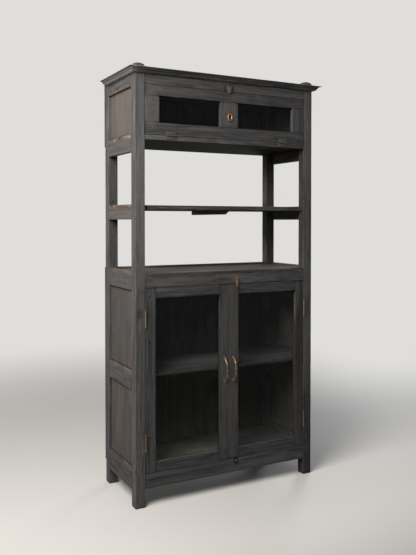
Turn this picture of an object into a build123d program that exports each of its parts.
"""Tall kitchen cabinet: four posts, a cupboard with two glazed doors, a counter, an open shelf
and a glazed drop-flap compartment under a moulded cornice.

Millimetres, +Z up, X to the right, the front faces -Y.
Origin: on the floor, under the middle of the overall box.
Left-hand pieces are made first and mirrored for the right.
"""
from build123d import *
from collections import namedtuple
import math
import os

# ------------------------------------------------------------------ frame
width_over_posts = 940.0
depth_over_posts = 380.0
post_side = 46.0
post_above_top = 25.0        # crown of a post over the top board
dome_rise = 12.0             # how far a post's top falls from crown to corner
rail_thickness = 22.0        # side, back and base rails
stop_rail_thickness = 32.0   # rails that also stop the flap or the doors
stop_lip = 8.0               # how far those rails reach down behind flap or door

# Heights of one side, stacked from the floor up
leg_height = 73.0
base_rail_height = 96.0
lower_panel_height = 347.0
middle_rail_height = 82.0
tall_panel_height = 358.0
counter_rail_height = 82.0
lower_bay_height = 229.0
shelf_rail_height = 67.0
upper_bay_height = 230.0
upper_rail_height = 76.0
upper_panel_height = 210.0
top_rail_height = 62.0

# Front and back rails
apron_rise = 8.0             # underside of the apron over the underside of the side base rails
apron_height = 64.0
counter_front_rail_height = 46.0
frieze_height = 54.0

# Boards
floor_thickness = 15.0
inner_shelf_thickness = 15.0
inner_shelf_drop = 14.0      # below the top of the middle rails
inner_shelf_setback = 1.0    # behind the back of the doors
counter_thickness = 16.0
counter_upstand = 8.0        # side and rear rails stand this far over the counter
open_shelf_thickness = 20.0
open_shelf_drop = 4.0
open_shelf_setback = 23.0
upper_floor_thickness = 22.0
upper_floor_drop = 3.0
top_board_thickness = 12.0
back_board_thickness = 11.0
back_board_width = 94.0      # nominal, rounded to a whole number of boards
back_board_gap = 0.6
back_board_lap = 39.0        # of the lower back boards over the base rail
panel_thickness = 7.0
panel_recess = 9.0
batten_width = 22.0
batten_height = 19.0
batten_offset = 5.0          # to the right of the middle
batten_setback = 10.0        # behind the front edge of the shelf
batten_chamfer = 26.0        # length of the sloped front end

# Joints in the wood
tenon_length = 20.0
tenon_thickness = 8.0
tenon_shoulder = 11.0
panel_groove = 6.0
housing = 3.5                # how deep the boards sit in the side rails
joint_gap = 0.15
cut_past = 1.0               # how far a cutter runs past what it cuts

# Cornice
cornice_projection = 35.0
cornice_drop = 11.0          # below the underside of the top board
cornice_step = 3.0
cornice_nose = 2.0
cornice_wave = 2.2           # depth of each half of the S curve
cornice_short = 25.0         # side cornices stop this far before the back

# Doors and flap
leaf_thickness = 22.0        # wood of the doors and the flap
door_gap = 2.0
door_stile_width = 48.0
door_top_rail_height = 46.0
door_bottom_rail_height = 48.0
flap_gap = 1.5
flap_end_stile_width = 68.0
flap_middle_stile_width = 92.0
flap_top_rail_height = 46.0
flap_bottom_rail_height = 54.0
frame_tenon_thickness = 7.0
glass_thickness = 3.0
glass_depth = 14.0           # from the front face to the glass
rebate_width = 8.0
glass_play = 1.0

# Door hinges, butt hinges let into the edges
hinge_length = 76.0
hinge_leaf_width = 19.0
hinge_leaf_thickness = 1.6
hinge_leaf_play = 0.4        # between the two closed leaves
hinge_barrel_radius = 3.6
hinge_barrel_stand = 0.3     # barrel off the face of the wood
hinge_pin_radius = 1.6
hinge_inset = 136.0          # hinge middle to the end of the door
knuckle_count = 5
knuckle_gap = 0.3
pin_play = 0.06

# Flap hinges, screwed on the face
flap_hinge_length = 50.0
flap_hinge_leaf_height = 15.0
flap_hinge_barrel_radius = 2.8
flap_hinge_pin_radius = 1.2
flap_hinge_inset = 125.0     # hinge middle to the end of the flap

# Door handles
handle_centres = 106.0
handle_grip_length = 58.0
handle_reach = 22.0
handle_bar_radius = 4.0
handle_bend = 14.0
rosette_radius = 8.5
rosette_thickness = 3.5
handle_from_edge = 22.0      # handle to the meeting edge of its door
handle_above_middle = 12.0

# Ring pull of the flap
pull_plate_radius = 20.0
pull_plate_waist = 13.5
pull_plate_points = 8
pull_plate_thickness = 1.6
ring_wire_radius = 1.7
ring_width = 29.0
ring_straight = 7.0
ring_play = 0.2
eye_wall = 1.7
eye_width = 3.0
pull_above_middle = 8.0

# Turn-buttons
flap_button_length = 44.0
flap_button_width = 22.0
door_button_length = 50.0
door_button_width = 14.0
door_button_offset = 40.0
base_button_length = 30.0
base_button_width = 16.0
base_button_offset = 32.0
button_thickness = 6.0
button_stand = 0.3           # off the face of the wood
button_clear = 3.0           # from a button turned aside to the edge it frees
screw_radius = 1.9
screw_head_radius = 4.0
screw_head_height = 2.2
screw_depth = 14.0
screw_play = 0.08

# ------------------------------------------------------------------ levels and planes
base_rail_top = leg_height + base_rail_height
middle_rail_bottom = base_rail_top + lower_panel_height
middle_rail_top = middle_rail_bottom + middle_rail_height
counter_rail_bottom = middle_rail_top + tall_panel_height
counter_rail_top = counter_rail_bottom + counter_rail_height
shelf_rail_bottom = counter_rail_top + lower_bay_height
shelf_rail_top = shelf_rail_bottom + shelf_rail_height
upper_rail_bottom = shelf_rail_top + upper_bay_height
upper_rail_top = upper_rail_bottom + upper_rail_height
top_rail_bottom = upper_rail_top + upper_panel_height
frame_top = top_rail_bottom + top_rail_height
cabinet_top = frame_top + top_board_thickness
post_top = cabinet_top + post_above_top

apron_bottom = leg_height + apron_rise
apron_top = apron_bottom + apron_height
counter_top = counter_rail_top - counter_upstand
counter_underside = counter_top - counter_thickness
counter_front_rail_bottom = counter_underside - counter_front_rail_height
open_shelf_top = shelf_rail_top - open_shelf_drop
open_shelf_underside = open_shelf_top - open_shelf_thickness
upper_floor_top = upper_rail_top - upper_floor_drop
upper_floor_underside = upper_floor_top - upper_floor_thickness
frieze_bottom = frame_top - frieze_height
inner_shelf_top = middle_rail_top - inner_shelf_drop
lower_boards_bottom = apron_top - back_board_lap

overall_depth = cornice_projection + depth_over_posts + back_board_thickness
front = cornice_projection - overall_depth / 2
back = front + depth_over_posts
boards_back = back + back_board_thickness
outer = width_over_posts / 2
inner = outer - post_side
side_front = front + post_side
side_back = back - post_side
rail_inner = outer - rail_thickness
leaf_back = front + leaf_thickness

Block = namedtuple("Block", "x0 x1 y0 y1 z0 z1")


def solid(block):
    """The straight board or cutter that fills a block."""
    size = (block.x1 - block.x0, block.y1 - block.y0, block.z1 - block.z0)
    middle = ((block.x0 + block.x1) / 2, (block.y0 + block.y1) / 2, (block.z0 + block.z1) / 2)
    return Pos(*middle) * Box(*size)


def grown(block, gap=joint_gap):
    """A block with a gap added on every side, as the seat for what fills the block."""
    low = {"x0": block.x0 - gap, "y0": block.y0 - gap, "z0": block.z0 - gap}
    high = {"x1": block.x1 + gap, "y1": block.y1 + gap, "z1": block.z1 + gap}
    return block._replace(**low, **high)


def swapped(block):
    """The same block on the other side of the cabinet."""
    return block._replace(x0=-block.x1, x1=-block.x0)


def mirrored(shape):
    return mirror(shape, about=Plane.YZ)


def cut(shape, blocks, gap=joint_gap):
    """Seats for the given blocks, cut into a shape."""
    for block in blocks:
        shape = shape - solid(grown(block, gap))
    return shape


def joined(block, tongues):
    """A rail with the tenons at its ends."""
    shape = solid(block)
    for tongue in tongues:
        shape = shape + solid(tongue)
    return shape


def tenons_along_y(rail):
    middle = (rail.x0 + rail.x1) / 2
    tongue = rail._replace(
        x0=middle - tenon_thickness / 2,
        x1=middle + tenon_thickness / 2,
        z0=rail.z0 + tenon_shoulder,
        z1=rail.z1 - tenon_shoulder,
    )
    front_end = tongue._replace(y0=rail.y0 - tenon_length, y1=rail.y0)
    back_end = tongue._replace(y0=rail.y1, y1=rail.y1 + tenon_length)
    return [front_end, back_end]


def tenons_along_x(rail, face, thickness=tenon_thickness, inset=rail_thickness / 2):
    """Tenons at both ends, centred a given inset behind (or in front of) a face of the rail."""
    tongue = rail._replace(
        y0=face + inset - thickness / 2,
        y1=face + inset + thickness / 2,
        z0=rail.z0 + tenon_shoulder,
        z1=rail.z1 - tenon_shoulder,
    )
    left_end = tongue._replace(x0=rail.x0 - tenon_length, x1=rail.x0)
    right_end = tongue._replace(x0=rail.x1, x1=rail.x1 + tenon_length)
    return [left_end, right_end]


pieces = {}


def keep(name, *shapes):
    pieces[name] = list(shapes)


# ------------------------------------------------------------------ side rails and panels
def left_rail(bottom, height):
    return Block(-outer, -rail_inner, side_front, side_back, bottom, bottom + height)


def left_panel(bottom, height):
    """A thin panel whose four edges run into grooves in the posts and rails."""
    return Block(
        -outer + panel_recess,
        -outer + panel_recess + panel_thickness,
        side_front - panel_groove,
        side_back + panel_groove,
        bottom - panel_groove,
        bottom + height + panel_groove,
    )


side_rails = {
    "base_rail": left_rail(leg_height, base_rail_height),
    "middle_rail": left_rail(middle_rail_bottom, middle_rail_height),
    "counter_rail": left_rail(counter_rail_bottom, counter_rail_height),
    "shelf_rail": left_rail(shelf_rail_bottom, shelf_rail_height),
    "upper_rail": left_rail(upper_rail_bottom, upper_rail_height),
    "top_rail": left_rail(top_rail_bottom, top_rail_height),
}
lower_panels = [
    left_panel(base_rail_top, lower_panel_height),
    left_panel(middle_rail_top, tall_panel_height),
]
upper_panel = left_panel(upper_rail_top, upper_panel_height)
panels = lower_panels + [upper_panel]

# ------------------------------------------------------------------ front and rear rails
apron = Block(-inner, inner, front, front + rail_thickness, apron_bottom, apron_top)
base_rear = Block(-inner, inner, back - rail_thickness, back, apron_bottom, apron_top)
counter_front = Block(
    -inner, inner, front, front + stop_rail_thickness, counter_front_rail_bottom - stop_lip, counter_underside
)
counter_rear = Block(-inner, inner, back - rail_thickness, back, counter_rail_bottom, counter_rail_top)
frieze = Block(-inner, inner, front, front + stop_rail_thickness, frieze_bottom - stop_lip, frame_top)
top_rear = Block(-inner, inner, back - rail_thickness, back, top_rail_bottom, frame_top)

front_tenons = {
    "apron": tenons_along_x(apron, front),
    "counter_front": tenons_along_x(counter_front, front, inset=stop_rail_thickness / 2),
    "frieze": tenons_along_x(frieze, front, inset=stop_rail_thickness / 2),
}
rear_tenons = {
    "base_rear": tenons_along_x(base_rear, back - rail_thickness),
    "counter_rear": tenons_along_x(counter_rear, back - rail_thickness),
    "top_rear": tenons_along_x(top_rear, back - rail_thickness),
}

# ------------------------------------------------------------------ boards
floor_board = Block(
    -rail_inner - housing,
    rail_inner + housing,
    front + rail_thickness - housing,
    back - rail_thickness + housing,
    apron_top - floor_thickness,
    apron_top,
)
inner_shelf = Block(
    -rail_inner - housing,
    rail_inner + housing,
    leaf_back + inner_shelf_setback,
    back,
    inner_shelf_top - inner_shelf_thickness,
    inner_shelf_top,
)
counter = Block(
    -rail_inner - housing,
    rail_inner + housing,
    front,
    back - rail_thickness + housing,
    counter_underside,
    counter_top,
)
open_shelf = Block(
    -rail_inner - housing,
    rail_inner + housing,
    front + open_shelf_setback,
    back,
    open_shelf_underside,
    open_shelf_top,
)
upper_floor = Block(
    -rail_inner - housing, rail_inner + housing, front, back, upper_floor_underside, upper_floor_top
)
top_board = Block(-outer, outer, front, boards_back, frame_top, cabinet_top)
housed_boards = [floor_board, inner_shelf, counter, open_shelf]
upper_floor_seat = upper_floor._replace(z1=upper_rail_top)

# ------------------------------------------------------------------ posts
front_post = Block(-outer, -inner, front, side_front, 0, post_top)
rear_post = Block(-outer, -inner, side_back, back, 0, post_top)
posts = [front_post, rear_post, swapped(front_post), swapped(rear_post)]


def dome(post):
    """The part of a post's square that lies under its low round top."""
    corner = post_side / math.sqrt(2)
    radius = (corner**2 + dome_rise**2) / (2 * dome_rise)
    middle = ((post.x0 + post.x1) / 2, (post.y0 + post.y1) / 2, post_top - radius)
    under_dome = solid(post._replace(z0=post_top - dome_rise)) & (Pos(*middle) * Sphere(radius))
    return solid(post._replace(z1=post_top - dome_rise)) + under_dome


# ------------------------------------------------------------------ door hinges
hinge_axis_x = -inner + door_gap / 2
hinge_axis_y = front - hinge_barrel_stand - hinge_barrel_radius
door_bottom = apron_top + door_gap
door_top = counter_front_rail_bottom - door_gap
door_height = door_top - door_bottom
hinge_middles = [door_bottom + hinge_inset, door_top - hinge_inset]


def barrel_spans(start, length, own):
    """Start and end of each knuckle that belongs to one leaf of a hinge."""
    pitch = length / knuckle_count
    first = 0 if own == "frame" else 1
    spans = []
    for number in range(first, knuckle_count, 2):
        low = start + number * pitch + knuckle_gap / 2
        spans.append((low, low + pitch - knuckle_gap))
    return spans


def door_hinge_plate(middle, side):
    """The flat of one leaf; side is -1 for the post's leaf and +1 for the door's."""
    near = hinge_axis_x + side * hinge_leaf_play / 2
    far = near + side * hinge_leaf_thickness
    return Block(
        min(near, far),
        max(near, far),
        front,
        front + hinge_leaf_width,
        middle - hinge_length / 2,
        middle + hinge_length / 2,
    )


def door_hinge_leaf(middle, own):
    plate = door_hinge_plate(middle, -1 if own == "frame" else 1)
    leaf = solid(plate)
    for low, high in barrel_spans(plate.z0, hinge_length, own):
        place = Pos(hinge_axis_x, hinge_axis_y, (low + high) / 2)
        knuckle = place * Cylinder(hinge_barrel_radius, high - low)
        tongue = solid(plate._replace(y0=hinge_axis_y, y1=front, z0=low, z1=high))
        leaf = leaf + knuckle + tongue
    bore_length = hinge_length + 2 * cut_past
    bore = Pos(hinge_axis_x, hinge_axis_y, middle) * Cylinder(hinge_pin_radius + pin_play, bore_length)
    return leaf - bore


def door_hinge_pin(middle):
    return Pos(hinge_axis_x, hinge_axis_y, middle) * Cylinder(hinge_pin_radius, hinge_length)


# ------------------------------------------------------------------ flap hinges
flap_width = 2 * (inner - flap_gap)
flap_bottom = upper_floor_top + flap_gap
flap_top = frieze_bottom - flap_gap
flap_axis_z = upper_floor_top + flap_gap / 2
flap_axis_y = front - hinge_barrel_stand - flap_hinge_barrel_radius
flap_hinge_middles = [-flap_width / 2 + flap_hinge_inset, flap_width / 2 - flap_hinge_inset]
flap_hinge_clear = flap_hinge_barrel_radius + hinge_barrel_stand


def flap_hinge_leaf(middle, own):
    """One leaf on the face of the flap, or on the edge of the board under it."""
    side = -1 if own == "frame" else 1
    near = flap_axis_z + side * flap_hinge_clear
    far = near + side * flap_hinge_leaf_height
    plate = Block(
        middle - flap_hinge_length / 2,
        middle + flap_hinge_length / 2,
        front - hinge_leaf_thickness,
        front,
        min(near, far),
        max(near, far),
    )
    leaf = solid(plate)
    for low, high in barrel_spans(plate.x0, flap_hinge_length, own):
        place = Pos((low + high) / 2, flap_axis_y, flap_axis_z) * Rot(0, 90, 0)
        knuckle = place * Cylinder(flap_hinge_barrel_radius, high - low)
        reach = plate._replace(x0=low, x1=high, z0=min(near, flap_axis_z), z1=max(near, flap_axis_z))
        leaf = leaf + knuckle + solid(reach)
    bore_place = Pos(middle, flap_axis_y, flap_axis_z) * Rot(0, 90, 0)
    bore_length = flap_hinge_length + 2 * cut_past
    return leaf - bore_place * Cylinder(flap_hinge_pin_radius + pin_play, bore_length)


def flap_hinge_pin(middle):
    place = Pos(middle, flap_axis_y, flap_axis_z) * Rot(0, 90, 0)
    return place * Cylinder(flap_hinge_pin_radius, flap_hinge_length)


# ------------------------------------------------------------------ turn-buttons and their screws
def turn_button(x, z, length, width):
    """A round-ended bar across a gap, with a hole for its screw."""
    outline = Rot(0, 0, 90) * SlotOverall(length, width) - Circle(screw_radius + screw_play)
    return Pos(x, front - button_stand, z) * extrude(Plane.XZ * outline, button_thickness)


def button_screw(x, z):
    head_back = front - button_stand - button_thickness - button_stand
    head_place = Pos(x, head_back - screw_head_height / 2, z) * Rot(90, 0, 0)
    head = head_place * Cylinder(screw_head_radius, screw_head_height)
    length = front + screw_depth - head_back
    shank = Pos(x, head_back + length / 2, z) * Rot(90, 0, 0) * Cylinder(screw_radius, length)
    return head + shank


def screw_hole(x, z):
    depth = screw_depth + joint_gap
    return Pos(x, front + depth / 2, z) * Rot(90, 0, 0) * Cylinder(screw_radius + joint_gap, depth)


flap_button_z = frieze_bottom + flap_button_width / 2 + button_clear
door_button_z = counter_front_rail_bottom + door_button_width / 2 + button_clear
base_button_z = apron_top - base_button_width / 2
buttons = {
    "flap_button": (0.0, flap_button_z, flap_button_length, flap_button_width),
    "door_button": (door_button_offset, door_button_z, door_button_length, door_button_width),
    "base_button": (base_button_offset, base_button_z, base_button_length, base_button_width),
}

# ------------------------------------------------------------------ carcass in the wood
left_mortises = []
for rail in side_rails.values():
    left_mortises += tenons_along_y(rail)
for left_end, right_end in list(front_tenons.values()) + list(rear_tenons.values()):
    left_mortises.append(left_end)

hinge_gains = [door_hinge_plate(middle, -1) for middle in hinge_middles]
left_front_post = cut(dome(front_post), left_mortises + panels + hinge_gains)
left_rear_post = cut(dome(rear_post), left_mortises + panels)
keep("post_front_left", left_front_post)
keep("post_front_right", mirrored(left_front_post))
keep("post_rear_left", left_rear_post)
keep("post_rear_right", mirrored(left_rear_post))

for name, rail in side_rails.items():
    left = joined(rail, tenons_along_y(rail))
    left = cut(left, panels + housed_boards + [upper_floor_seat])
    keep(name + "_left", left)
    keep(name + "_right", mirrored(left))

left_upper_panel = solid(upper_panel)
left_lower_panels = [solid(panel) for panel in lower_panels]
keep("upper_side_panels", left_upper_panel, mirrored(left_upper_panel))
keep("lower_side_panels", *left_lower_panels, *[mirrored(panel) for panel in left_lower_panels])

apron_rail = cut(joined(apron, front_tenons["apron"]), [floor_board])
apron_rail = apron_rail - screw_hole(*buttons["base_button"][:2])
keep("apron_rail", apron_rail)
keep("base_rail_rear", cut(joined(base_rear, rear_tenons["base_rear"]), [floor_board]))

counter_front_rail = joined(counter_front, front_tenons["counter_front"])
door_rebate = counter_front._replace(y1=leaf_back, z1=counter_front_rail_bottom)
counter_front_rail = cut(counter_front_rail, [door_rebate], gap=0)
keep("counter_rail_front", counter_front_rail - screw_hole(*buttons["door_button"][:2]))
keep("counter_rail_rear", cut(joined(counter_rear, rear_tenons["counter_rear"]), [counter]))

frieze_rail = joined(frieze, front_tenons["frieze"])
flap_rebate = frieze._replace(y1=leaf_back, z1=frieze_bottom)
frieze_rail = cut(frieze_rail, [flap_rebate], gap=0)
keep("frieze_rail", frieze_rail - screw_hole(*buttons["flap_button"][:2]))
keep("top_rail_rear", joined(top_rear, rear_tenons["top_rear"]))

keep("floor_board", cut(solid(floor_board), posts))
keep("inner_shelf", cut(solid(inner_shelf), posts))
keep("counter_board", cut(solid(counter), posts))
keep("open_shelf", cut(solid(open_shelf), posts))
keep("upper_floor", cut(solid(upper_floor), posts))
keep("top_board", cut(solid(top_board), posts))


# ------------------------------------------------------------------ back boards
def back_boards(bottom, top):
    count = max(1, round(width_over_posts / back_board_width))
    pitch = width_over_posts / count
    boards = []
    for number in range(count):
        left = -outer + number * pitch + back_board_gap / 2
        boards.append(solid(Block(left, left + pitch - back_board_gap, back, boards_back, bottom, top)))
    return boards


keep("lower_back_boards", *back_boards(lower_boards_bottom, counter_rail_top))
keep("upper_back_boards", *back_boards(upper_floor_underside, frame_top))


# ------------------------------------------------------------------ batten under the open shelf
def shelf_batten():
    """A strip from front to back whose front end slopes back towards its underside."""
    start = front + open_shelf_setback + batten_setback
    top = open_shelf_underside
    side = make_face(
        Polyline(
            (start, top),
            (start + batten_chamfer, top - batten_height),
            (back, top - batten_height),
            (back, top),
            close=True,
        )
    )
    strip = extrude(Plane.YZ * side, batten_width / 2, both=True)
    return Pos(batten_offset, 0, 0) * strip


keep("shelf_batten", shelf_batten())


# ------------------------------------------------------------------ cornice
cornice_bottom = frame_top - cornice_drop


def cornice_profile():
    """Outward distance against height: a small step, an S curve and a thin nose."""
    start = (cornice_step, cornice_bottom)
    end = (cornice_projection, cabinet_top - cornice_nose)
    half = ((start[0] + end[0]) / 2, (start[1] + end[1]) / 2)
    edges = [
        Line((0, cornice_bottom), start),
        SagittaArc(start, half, -cornice_wave),
        SagittaArc(half, end, cornice_wave),
        Line(end, (cornice_projection, cabinet_top)),
        Line((cornice_projection, cabinet_top), (0, cabinet_top)),
        Line((0, cabinet_top), (0, cornice_bottom)),
    ]
    return make_face(edges)


def plan_prism(*corners):
    """A prism over a plan outline, tall enough for the cornice."""
    outline = make_face(Polyline(*corners, close=True))
    height = cabinet_top - cornice_bottom + 2 * cut_past
    return Pos(0, 0, cornice_bottom - cut_past) * extrude(outline, height)


def cornice_front():
    reach = outer + cornice_projection
    to_front = Plane(origin=(-reach, front, 0), x_dir=(0, -1, 0), z_dir=(1, 0, 0))
    # That plane's second axis points down, so the profile is mirrored across it.
    strip = extrude(to_front * mirror(cornice_profile(), about=Plane.XZ), 2 * reach)
    nose = front - cornice_projection
    return strip & plan_prism((-outer, front), (outer, front), (reach, nose), (-reach, nose))


def cornice_left():
    reach = outer + cornice_projection
    nose = front - cornice_projection
    end = back - cornice_short
    to_left = Plane(origin=(-outer, nose, 0), x_dir=(-1, 0, 0), z_dir=(0, 1, 0))
    strip = extrude(to_left * cornice_profile(), end - nose)
    return strip & plan_prism((-outer, front), (-outer, end), (-reach, end), (-reach, nose))


keep("cornice_front", cornice_front())
keep("cornice_sides", cornice_left(), mirrored(cornice_left()))


# ------------------------------------------------------------------ glazing
def glazing(sight):
    """Rebate, pane and the four beads that hold the pane, for one opening of a frame."""
    back_of_glass = front + glass_depth + glass_thickness
    rebate = sight._replace(
        x0=sight.x0 - rebate_width,
        x1=sight.x1 + rebate_width,
        y0=front + glass_depth,
        y1=leaf_back,
        z0=sight.z0 - rebate_width,
        z1=sight.z1 + rebate_width,
    )
    pane = rebate._replace(
        x0=rebate.x0 + glass_play,
        x1=rebate.x1 - glass_play,
        y1=back_of_glass,
        z0=rebate.z0 + glass_play,
        z1=rebate.z1 - glass_play,
    )
    strip = rebate._replace(y0=back_of_glass)
    beads = [
        strip._replace(z1=sight.z0),
        strip._replace(z0=sight.z1),
        strip._replace(x1=sight.x0, z0=sight.z0, z1=sight.z1),
        strip._replace(x0=sight.x1, z0=sight.z0, z1=sight.z1),
    ]
    return rebate, pane, beads


# ------------------------------------------------------------------ doors
door_left_edge = -inner + door_gap
door_right_edge = -door_gap / 2
door_block = Block(door_left_edge, door_right_edge, front, leaf_back, door_bottom, door_top)
door_sight = Block(
    door_left_edge + door_stile_width,
    door_right_edge - door_stile_width,
    front,
    leaf_back,
    door_bottom + door_bottom_rail_height,
    door_top - door_top_rail_height,
)
door_rails = [
    door_block._replace(x0=door_sight.x0, x1=door_sight.x1, z1=door_sight.z0),
    door_block._replace(x0=door_sight.x0, x1=door_sight.x1, z0=door_sight.z1),
]
door_stiles = [door_block._replace(x1=door_sight.x0), door_block._replace(x0=door_sight.x1)]
door_rebate_block, door_pane, door_beads = glazing(door_sight)
frame_tenon_inset = glass_depth / 2

door_rail_shapes = []
door_mortises = []
for rail in door_rails:
    tongues = tenons_along_x(rail, front, frame_tenon_thickness, frame_tenon_inset)
    door_mortises += tongues
    door_rail_shapes.append(cut(joined(rail, tongues), [door_rebate_block], gap=0))

door_gains = [door_hinge_plate(middle, 1) for middle in hinge_middles]
door_stile_shapes = []
for stile in door_stiles:
    shape = cut(solid(stile), door_mortises + door_gains)
    door_stile_shapes.append(cut(shape, [door_rebate_block], gap=0))


def door_handle():
    """A bow between two rosettes."""
    x = door_right_edge - handle_from_edge
    z = (door_bottom + door_top) / 2 + handle_above_middle
    foot = handle_centres / 2
    grip = handle_grip_length / 2
    seat = rosette_thickness / 2
    lower = [(0, -seat, -foot), (0, -handle_reach, -grip)]
    upper = [(0, -handle_reach, grip), (0, -seat, foot)]
    path = FilletPolyline(*lower, *upper, radius=handle_bend)
    bow = sweep(Plane(origin=path @ 0, z_dir=path % 0) * Circle(handle_bar_radius), path=path)
    wood = Block(-rosette_radius, rosette_radius, 0, leaf_thickness, -handle_centres, handle_centres)
    bow = bow - solid(wood)
    for height in (-foot, foot):
        bow = bow + Pos(0, -seat, height) * Rot(90, 0, 0) * Cylinder(rosette_radius, rosette_thickness)
    return Pos(x, front, z) * bow


left_door = {
    "stiles": door_stile_shapes,
    "rails": door_rail_shapes,
    "pane": [solid(door_pane)],
    "beads": [solid(bead) for bead in door_beads],
    "handle": [door_handle()],
    "hinge_leaves": [door_hinge_leaf(middle, "door") for middle in hinge_middles],
}
for part, shapes in left_door.items():
    keep("left_door_" + part, *shapes)
    keep("right_door_" + part, *[mirrored(shape) for shape in shapes])

# ------------------------------------------------------------------ flap
flap_block = Block(-flap_width / 2, flap_width / 2, front, leaf_back, flap_bottom, flap_top)
flap_rails = [
    flap_block._replace(z1=flap_bottom + flap_bottom_rail_height),
    flap_block._replace(z0=flap_top - flap_top_rail_height),
]
between_rails = flap_block._replace(z0=flap_rails[0].z1, z1=flap_rails[1].z0)
flap_stiles = [
    between_rails._replace(x1=flap_block.x0 + flap_end_stile_width),
    between_rails._replace(x0=-flap_middle_stile_width / 2, x1=flap_middle_stile_width / 2),
    between_rails._replace(x0=flap_block.x1 - flap_end_stile_width),
]
flap_sights = [
    between_rails._replace(x0=flap_stiles[0].x1, x1=flap_stiles[1].x0),
    between_rails._replace(x0=flap_stiles[1].x1, x1=flap_stiles[2].x0),
]
flap_glazing = [glazing(sight) for sight in flap_sights]
flap_rebates = [rebate for rebate, pane, beads in flap_glazing]


def tenons_along_z(stile):
    tongue = stile._replace(
        x0=stile.x0 + tenon_shoulder,
        x1=stile.x1 - tenon_shoulder,
        y0=front + frame_tenon_inset - frame_tenon_thickness / 2,
        y1=front + frame_tenon_inset + frame_tenon_thickness / 2,
    )
    lower_end = tongue._replace(z0=stile.z0 - tenon_length, z1=stile.z0)
    upper_end = tongue._replace(z0=stile.z1, z1=stile.z1 + tenon_length)
    return [lower_end, upper_end]


flap_mortises = []
flap_stile_shapes = []
for stile in flap_stiles:
    tongues = tenons_along_z(stile)
    flap_mortises += tongues
    flap_stile_shapes.append(cut(joined(stile, tongues), flap_rebates, gap=0))

flap_rail_shapes = []
for rail in flap_rails:
    shape = cut(solid(rail), flap_mortises)
    flap_rail_shapes.append(cut(shape, flap_rebates, gap=0))

keep("flap_rails", *flap_rail_shapes)
keep("flap_stiles", *flap_stile_shapes)
keep("flap_panes", *[solid(pane) for rebate, pane, beads in flap_glazing])
keep("flap_beads", *[solid(bead) for rebate, pane, beads in flap_glazing for bead in beads])
keep("flap_hinge_leaves", *[flap_hinge_leaf(middle, "flap") for middle in flap_hinge_middles])

# ------------------------------------------------------------------ ring pull
pull_z = (flap_bottom + flap_top) / 2 + pull_above_middle
eye_bore = ring_wire_radius + ring_play
eye_radius = eye_bore + eye_wall
plate_face = front - pull_plate_thickness
eye_y = plate_face - eye_radius


def pull_plate():
    """A thin star with an eye that stands off it for the ring."""
    corners = []
    for number in range(2 * pull_plate_points):
        radius = pull_plate_radius if number % 2 == 0 else pull_plate_waist
        angle = math.pi / 2 + number * math.pi / pull_plate_points
        corners.append((radius * math.cos(angle), radius * math.sin(angle)))
    outline = Plane.XZ * make_face(Polyline(*corners, close=True))
    star = Pos(0, front, pull_z) * extrude(outline, pull_plate_thickness)
    eye_place = Pos(0, eye_y, pull_z) * Rot(0, 90, 0)
    half = eye_width / 2
    neck = solid(Block(-half, half, eye_y, plate_face, pull_z - eye_radius / 2, pull_z + eye_radius / 2))
    eye = eye_place * Cylinder(eye_radius, eye_width)
    bore = eye_place * Cylinder(eye_bore, eye_width + 2 * cut_past)
    return star + (eye + neck - bore)


def drop_ring():
    """A ring, round at both ends and straight between them, hung by its top in the eye."""
    bend = ring_width / 2 - ring_wire_radius
    section = Pos(bend, 0, 0) * Circle(ring_wire_radius)
    # The section stands on the level plane and turns about the Y axis into the upper half ring.
    upper = revolve(section, Axis.Y, -180)
    lower = mirror(upper, about=Plane.XY)
    ring = Pos(0, 0, ring_straight / 2) * upper + Pos(0, 0, -ring_straight / 2) * lower
    for side in (-bend, bend):
        ring = ring + Pos(side, 0, 0) * Cylinder(ring_wire_radius, ring_straight)
    return Pos(0, eye_y, pull_z - bend - ring_straight / 2) * ring


keep("flap_pull_plate", pull_plate())
keep("flap_ring", drop_ring())

# ------------------------------------------------------------------ hinges on the carcass, buttons
left_frame_leaves = [door_hinge_leaf(middle, "frame") for middle in hinge_middles]
flap_frame_leaves = [flap_hinge_leaf(middle, "frame") for middle in flap_hinge_middles]
right_frame_leaves = [mirrored(leaf) for leaf in left_frame_leaves]
keep("frame_hinge_leaves", *left_frame_leaves, *right_frame_leaves, *flap_frame_leaves)

left_pins = [door_hinge_pin(middle) for middle in hinge_middles]
flap_pins = [flap_hinge_pin(middle) for middle in flap_hinge_middles]
keep("hinge_pins", *left_pins, *[mirrored(pin) for pin in left_pins], *flap_pins)

for name, (x, z, length, width) in buttons.items():
    keep(name, turn_button(x, z, length, width))
keep("button_screws", *[button_screw(x, z) for x, z, length, width in buttons.values()])

# ------------------------------------------------------------------ one file for each node
os.makedirs("parts", exist_ok=True)
for name, shapes in pieces.items():
    node = shapes[0] if len(shapes) == 1 else Compound(children=shapes)
    export_step(node, "parts/" + name + ".step")
print(len(pieces), "nodes,", sum(len(shapes) for shapes in pieces.values()), "solids")
